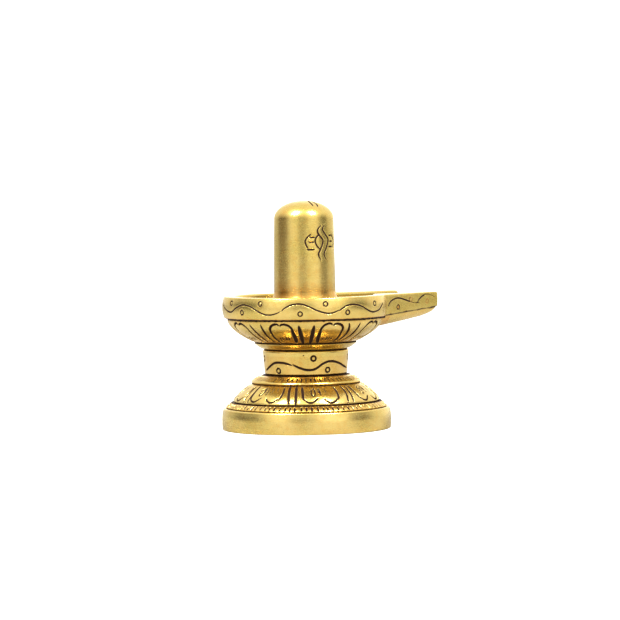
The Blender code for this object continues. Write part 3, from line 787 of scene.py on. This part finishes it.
def basin_soot_and_shade(place):
    """Soot and painted shade worked out from where a point is: soot in the strokes of the band and of the
    spout's sides, and painted shade in the corner under the band, along the keel's edge and round the
    basin's floor."""
    x, y, height = place.T
    angle = np.arctan2(y, x)
    radius = np.hypot(x, y)
    on_band = (radius > 29.5) & (np.abs(radius - band_radius_at(height)) < 0.6) & (height < RIM_Z - 0.3)
    soot_and_shade = on_band * chase(angle, BAND_RADIUS, height, *band_chasing(),
                           lambda level: BAND_RADIUS, lambda level: level)[1]
    off_side = np.abs(np.abs(y) - spout_half_width_at(x))
    for near in (True, False):
        on_side = (np.sign(y) == (-1 if near else 1)) & (off_side < 0.7) & (x > 21)
        soot_and_shade = np.maximum(soot_and_shade, spout_chasing(x, height, near)[1] * on_side)
    uneven = 0.5 + 0.8 * ripple(6 * angle, height, 15, 12)
    # Painted shade over the joint in the corner under the band
    under = np.clip(1.5 - np.abs(height - BAND_Z + 0.15) / (0.38 * uneven), 0, 1) * (x < 21.4)
    # Painted shade in the crease where the keel meets the side's lower edge
    beside_keel = np.clip(1.4 - np.abs(height - spout_bottom_at(x) - 0.02) / (0.42 * uneven), 0, 0.62)
    beside_keel *= (x > 21) & (off_side < 1.3)
    # Painted shade in the corner round the basin's floor
    off_corner = np.hypot(radius - BASIN_RADIUS + 0.5, height - RIM_Z + BASIN_DEPTH - 0.4)
    corner = 0.40 * uneven * np.clip(1.4 - off_corner / 1.1, 0, 1)
    return np.maximum.reduce([soot_and_shade, under, beside_keel, corner * (radius < 27)])


# ---- Lingam ----

# The mark's strokes, across and up from its middle: a pair of waving lines, an eye's arc, and on each
# side three bars closed by a bracket
MARK_TURN = 37.0
MARK_HEIGHT = 70.6
MARK_STROKES = (
    ((0.1, 6.7), (-2.0, 4.3), (-1.2, 2.4), (0.4, 0.3), (-0.8, -2.8), (-1.7, -4.8), (-0.4, -7.5)),
    ((1.7, 6.7), (0.2, 4.8), (1.6, 2.7), (3.1, 0.6), (1.7, -2.8), (0.8, -4.6), (2.2, -7.5)),
    ((-1.1, 2.9), (-2.5, 1.7), (-3.0, 0.2), (-2.3, -1.5), (-1.0, -2.9)),
    ((-4.6, 3.0), (-6.2, 1.5), (-6.9, 0.2), (-6.4, -1.4), (-5.8, -2.5)),
    ((-5.2, 1.7), (-3.2, 1.7)),
    ((-5.8, -0.1), (-3.5, -0.1)),
    ((-6.3, -2.9), (-3.3, -2.9)),
    ((5.2, 2.8), (7.4, 0.3), (6.6, -2.4)),
    ((3.6, 2.3), (5.0, 2.3)),
    ((4.1, 0.1), (5.8, 0.1)),
    ((3.4, -1.9), (5.6, -1.9)),
)

# The two lines on the dome: degrees from the front and heights, half width, depth and bluntness
DOME_STROKES = (
    (((44.0, 86.0), (30.0, 85.6), (27.0, 84.9), (26.0, 84.0)), 0.24, 0.24, 5),
    (((62.0, 85.9), (50.0, 85.4), (44.0, 84.6), (38.0, 83.7)), 0.24, 0.24, 5),
)


def lingam_tone(turn, height):
    """Browner at the shaft's foot, and in an upright stripe on its left that is painted reflection of the
    dark wall there.
    """
    foot_tone = np.interp(height, (46.0, 50.5, 57.0), (0.3, 0.9, 0.0))
    # The brown stripe 46 degrees left of the front is painted reflection of the dark wall there
    return foot_tone + 0.45 * np.exp(-((turn + 46) / 13) ** 2) - 0.15


def lingam(material):
    """The shaft with its hollow fillet below and its low dome above: a quarter of a superellipse."""
    floor_z = RIM_Z - BASIN_DEPTH
    shoulder = RIM_Z + SHAFT_HEIGHT
    fillet = arc((SHAFT_RADII[0] + SHAFT_FILLET, floor_z + SHAFT_FILLET), (SHAFT_FILLET, SHAFT_FILLET),
                 270, 180, 24)
    turn = np.linspace(0, math.pi / 2, 60)
    dome = np.column_stack([SHAFT_RADII[1] * np.cos(turn) ** (2 / DOME_SQUARENESS),
                            shoulder + DOME_HEIGHT * np.sin(turn) ** (2 / DOME_SQUARENESS)])
    outline = np.vstack([[(fillet[0, 0] + 1.2, floor_z - 0.6)], fillet, dome[:-1], [(0.25, dome[-1, 1])]])
    strokes = []
    for stroke in MARK_STROKES:
        points = [(MARK_TURN + math.degrees(across / SHAFT_RADII[1]), MARK_HEIGHT + up)
                  for across, up in stroke]
        strokes.append((points, 0.27, 0.26, 4) if len(stroke) > 5 else (points, 0.23, 0.26, 8))
    strokes += DOME_STROKES
    piece = turned_piece("lingam", even(outline, SMOOTH), 356, strokes, tone_at=lingam_tone, seed=13)
    finished(piece, material)


# ---- Materials ----

def linear(code):
    """An sRGB hex colour as linear red, green, blue and alpha."""
    values = [int(code[i:i + 2], 16) / 255 for i in (1, 3, 5)]
    return (*(v / 12.92 if v <= 0.04045 else ((v + 0.055) / 1.055) ** 2.4 for v in values), 1.0)


def grey(value):
    """A grey colour of a linear brightness, with alpha."""
    return (value, value, value, 1.0)


def fill(made, **links):
    """Fills a node's inputs, given by name or as i and a number, with values or other nodes' outputs."""
    for key, value in links.items():
        numbered = key[0] == "i" and key[1:].isdigit()
        socket = made.inputs[int(key[1:]) if numbered else key.replace("_", " ")]
        if isinstance(value, bpy.types.NodeSocket):
            made.id_data.links.new(value, socket)
        else:
            socket.default_value = value


def node(tree, kind, settings=None, out=0, **links):
    """Adds a shader node, sets its properties and its ramp's stops, fills its inputs, and gives one of
    its outputs."""
    made = tree.nodes.new("ShaderNode" + kind)
    settings = dict(settings or {})
    stops = settings.pop("stops", ())
    for key, value in settings.items():
        setattr(made, key, value)
    if stops:
        elements = made.color_ramp.elements
        for position, colour in stops[1:-1]:
            elements.new(position).color = colour
        elements[0].position, elements[0].color = stops[0]
        elements[-1].position, elements[-1].color = stops[-1]
    fill(made, **links)
    return made.outputs[out] if len(made.outputs) else None


# Settings of nodes that reckon or mix
TIMES = {"operation": "MULTIPLY"}
TIMES_PLUS = {"operation": "MULTIPLY_ADD"}
TIMES_CLAMPED = {"operation": "MULTIPLY", "use_clamp": True}
LARGER = {"operation": "MAXIMUM"}
COLOURS = {"data_type": "RGBA"}


def satin_brass():
    """Yellow brass, cast, turned and brushed to a satin, with soot left in its low lines; painted shade
    and painted reflection are laid on in places.

    The eye sees warm gold with fine rings from the lathe, greener clouds where it has begun to tarnish,
    small nicks and pores, and brown black residue in every groove.
    """
    material = bpy.data.materials.new("satin brass")
    material.use_nodes = True
    tree = material.node_tree
    place = node(tree, "TexCoord", out="Object")
    soot_and_shade = node(tree, "Attribute", {"attribute_name": "soot_and_shade"}, out="Fac")
    tone = node(tree, "Attribute", {"attribute_name": "tone"}, out="Fac")

    # Clouds of tarnish, about 14 mm across, and finer mottling of 2 mm
    clouds = node(tree, "TexNoise", Vector=place, Scale=70.0, Detail=3.0, Roughness=0.55)
    mottle = node(tree, "TexNoise", Vector=place, Scale=480.0, Detail=4.0, Roughness=0.6)
    tarnish = node(tree, "ValToRGB", {"stops": ((0.42, grey(0.0)), (0.68, grey(1.0)))}, i0=clouds)
    share = node(tree, "Math", TIMES, i0=tarnish, i1=0.55)
    colour = node(tree, "Mix", COLOURS, 2, i0=share, i6=linear("#E6CE8A"), i7=linear("#CABA6C"))
    warm = node(tree, "ValToRGB", {"stops": ((0.45, grey(0.0)), (0.75, grey(1.0)))}, i0=mottle)
    share = node(tree, "Math", TIMES, i0=warm, i1=0.30)
    colour = node(tree, "Mix", COLOURS, 2, i0=share, i6=colour, i7=linear("#D9A24A"))

    # Rings from the lathe, about 0.4 mm apart: the noise is drawn out round the piece and fine up it.
    # Pores of about 0.5 mm
    lathe = node(tree, "Mapping", Vector=place, Scale=(60.0, 60.0, 2600.0))
    rings = node(tree, "TexNoise", Vector=lathe, Scale=1.0, Detail=3.0, Roughness=0.6)
    pores = node(tree, "TexNoise", Vector=place, Scale=1900.0, Detail=2.0, Roughness=0.5)
    pits = node(tree, "ValToRGB", {"stops": ((0.66, grey(0.0)), (0.74, grey(1.0)))}, i0=pores)

    # Hue, broken up by the mottling: greener with tarnish; browner, much of it painted reflection and shade
    patch = node(tree, "Math", TIMES_PLUS, i0=mottle, i1=1.1, i2=0.30)
    for side, hue in ((-1.0, "#BFAE50"), (1.0, "#CF9544")):
        amount = node(tree, "Math", TIMES, i0=tone, i1=side)
        amount = node(tree, "Math", LARGER, i0=amount, i1=0.0)
        amount = node(tree, "Math", TIMES_CLAMPED, i0=amount, i1=patch)
        share = node(tree, "Math", TIMES, i0=amount, i1=0.8)
        colour = node(tree, "Mix", COLOURS, 2, i0=share, i6=colour, i7=linear(hue))

    # Soot and painted shade: broken up by the mottling at their edges, and a little soot in the pores
    broken = node(tree, "Math", TIMES_PLUS, i0=mottle, i1=0.8, i2=0.62)
    broken = node(tree, "Math", TIMES, i0=soot_and_shade, i1=broken)
    cover = node(tree, "ValToRGB", {"stops": ((0.25, grey(0.0)), (0.72, grey(1.0)))}, i0=broken)
    in_pores = node(tree, "Math", TIMES, i0=pits, i1=0.25)
    cover = node(tree, "Math", LARGER, i0=cover, i1=in_pores)
    colour = node(tree, "Mix", COLOURS, 2, i0=cover, i6=colour, i7=linear("#3C2114"))
    metal = node(tree, "Math", TIMES_PLUS, i0=cover, i1=-0.85, i2=1.0)

    # Rougher in the rings, the tarnish, the soot and the painted shade
    rough = node(tree, "Math", TIMES_PLUS, i0=rings, i1=0.11, i2=0.18)
    rough = node(tree, "Math", TIMES_PLUS, i0=tarnish, i1=0.05, i2=rough)
    rough = node(tree, "Math", TIMES_PLUS, i0=cover, i1=0.35, i2=rough)

    height = node(tree, "Math", TIMES, i0=mottle, i1=1.2)
    height = node(tree, "Math", TIMES_PLUS, i0=rings, i1=0.5, i2=height)
    height = node(tree, "Math", TIMES_PLUS, i0=pits, i1=-0.8, i2=height)
    bump = node(tree, "Bump", Strength=0.35, Distance=0.00005, Height=height)
    fill(tree.nodes["Principled BSDF"], Base_Color=colour, Metallic=metal, Roughness=rough, Normal=bump)
    return material


def white_paper():
    """Matt paper for the floor, rolled smooth: an even ground without gloss. The camera sees most of it
    as a glow, so that it comes out pure white."""
    material = bpy.data.materials.new("white paper")
    material.use_nodes = True
    tree = material.node_tree
    paper = tree.nodes["Principled BSDF"]
    fill(paper, Base_Color=linear("#B4B4B4"), Roughness=0.9, Specular_IOR_Level=0.2)
    seen = node(tree, "LightPath", out="Is Camera Ray")
    lift = node(tree, "Math", TIMES, i0=seen, i1=0.70)
    glow = node(tree, "Emission", Color=grey(1.0), Strength=1.3)
    mix = node(tree, "MixShader", i0=lift, i1=paper.outputs[0], i2=glow)
    fill(tree.nodes["Material Output"], Surface=mix)
    return material


# ---- Studio ----

# Brightness of the studio round the object, by degrees from the viewer to the right
STUDIO_ROUND = ((-180, 1.40), (-160, 0.72), (-124, 0.54), (-106, 0.09), (-74, 0.08), (-52, 0.85),
                (-27, 0.95), (-16, 0.33), (1, 0.33), (20, 0.95), (53, 1.00), (70, 0.14), (88, 0.08),
                (105, 0.70), (150, 1.0), (180, 1.4))

# How far an even light takes the walls' place, by height: 0 is straight below and 0.5 the horizon
CEILING = ((0.0, 0.6), (0.40, 0.0), (0.51, 0.0), (0.60, 0.35), (0.72, 0.65), (0.82, 0.95), (1.0, 1.0))
CEILING_LIGHT = 0.85

# Lamps: name, degrees to the right of the viewer and up, distance, width and height in metres, and
# radiance. They look at the object's middle height
LAMPS = (
    ("high_left", -44, 53, 1.1, (0.20, 0.50), 23.0),
    ("high_right", 45, 53, 1.1, (0.18, 0.44), 23.0),
)
AIM_HEIGHT = 0.045

# Camera: lens in millimetres, its distance, height and shift to the right in metres, and in degrees
# how far it looks down and how far the picture is tilted
LENS = 157.0
EYE_DISTANCE = 1.02
EYE_HEIGHT = 0.0868
EYE_SHIFT = 0.00185
EYE_DOWN = 2.36
EYE_TILT = -0.85


def studio():
    """A white room whose walls are brighter and darker by turns, pure white where the camera looks."""
    world = bpy.data.worlds.new("studio")
    bpy.context.scene.world = world
    world.use_nodes = True
    tree = world.node_tree
    tree.nodes.clear()
    way = node(tree, "TexCoord", out="Generated")
    turned = node(tree, "VectorRotate", {"rotation_type": "Z_AXIS"}, Vector=way, Angle=math.radians(-FRONT))
    flat = node(tree, "SeparateXYZ", i0=turned).node.outputs
    angle = node(tree, "Math", {"operation": "ARCTAN2"}, i0=flat[1], i1=flat[0])
    share = node(tree, "Math", TIMES_PLUS, i0=angle, i1=0.5 / math.pi, i2=0.5)
    stops = [((degrees + 180) / 360, grey(light)) for degrees, light in STUDIO_ROUND]
    walls = node(tree, "ValToRGB", {"stops": stops}, i0=share)
    rise = node(tree, "SeparateXYZ", out="Z", i0=way)
    rise = node(tree, "Math", TIMES_PLUS, i0=rise, i1=0.5, i2=0.5)
    stops = [(place, grey(part)) for place, part in CEILING]
    above = node(tree, "ValToRGB", {"stops": stops}, i0=rise)
    light = node(tree, "Mix", COLOURS, 2, i0=above, i6=walls, i7=grey(CEILING_LIGHT))
    lit = node(tree, "Background", Color=light, Strength=1.0)
    shown = node(tree, "Background", Color=grey(1.0), Strength=1.1)
    seen = node(tree, "LightPath", out="Is Camera Ray")
    mix = node(tree, "MixShader", i0=seen, i1=lit, i2=shown)
    node(tree, "OutputWorld", Surface=mix)


def softbox(name, turn, rise, distance, size, radiance):
    """An upright lamp that looks at the object from an angle off the viewer's side and a height."""
    bearing = math.radians(FRONT + turn)
    up = math.radians(rise)
    way = Vector((math.cos(bearing) * math.cos(up), math.sin(bearing) * math.cos(up), math.sin(up)))
    lamp = bpy.data.lights.new(name, "AREA")
    lamp.shape = "RECTANGLE"
    lamp.size, lamp.size_y = size
    lamp.energy = radiance * math.pi * size[0] * size[1]
    holder = bpy.data.objects.new(name, lamp)
    holder.location = Vector((0, 0, AIM_HEIGHT)) + way * distance
    holder.rotation_euler = way.to_track_quat("Z", "Y").to_euler()
    holder.visible_camera = False
    bpy.context.scene.collection.objects.link(holder)


def floor():
    """A wide round sheet of paper under the object: a flat disc in four rings."""
    rows, columns = 4, 96
    angle = np.linspace(0, 2 * math.pi, columns, endpoint=False)[None, :]
    radius = np.array([[60.0], [300.0], [1200.0], [5000.0]])
    grid = np.stack([radius * np.cos(angle), radius * np.sin(angle), 0 * radius * angle], axis=-1)
    points = np.vstack([grid.reshape(-1, 3), [(0, 0, 0)]])
    here = np.arange(columns)
    fan = np.column_stack([np.full(columns, rows * columns), here, (here + 1) % columns])
    ground = mesh_of("floor", points, wrapped_grid(rows, columns)[:, ::-1], fan)
    ground.data.materials.append(white_paper())


def camera():
    """The viewer's place, a metre off at the height of the lingam's top, with the picture's slight tilt."""
    away = math.radians(FRONT)
    back = Vector((math.cos(away), math.sin(away), 0))
    right = Vector((-back.y, back.x, 0))
    eye = bpy.data.cameras.new("camera")
    eye.lens = LENS
    eye.sensor_width = 36.0
    eye.clip_start = 0.05
    eye.clip_end = 20.0
    holder = bpy.data.objects.new("camera", eye)
    bpy.context.scene.collection.objects.link(holder)
    drop = math.radians(EYE_DOWN)
    behind = back * math.cos(drop) + Vector((0, 0, math.sin(drop)))
    upright = Matrix((right, behind.cross(right), behind)).transposed()
    tilt = Matrix.Rotation(math.radians(EYE_TILT), 3, "Z")
    place = back * EYE_DISTANCE + right * EYE_SHIFT
    place.z = EYE_HEIGHT
    holder.matrix_world = Matrix.Translation(place) @ (upright @ tilt).to_4x4()
    bpy.context.scene.camera = holder


camera()
studio()
floor()
for lamp in LAMPS:
    softbox(*lamp)
view = bpy.context.scene.view_settings
view.view_transform = "Standard"
view.exposure = 0.60
view.gamma = 0.76

brass = satin_brass()
for make in (foot, low_beads, lotus, high_beads, waist, collar, bowl, basin, lingam):
    make(brass)
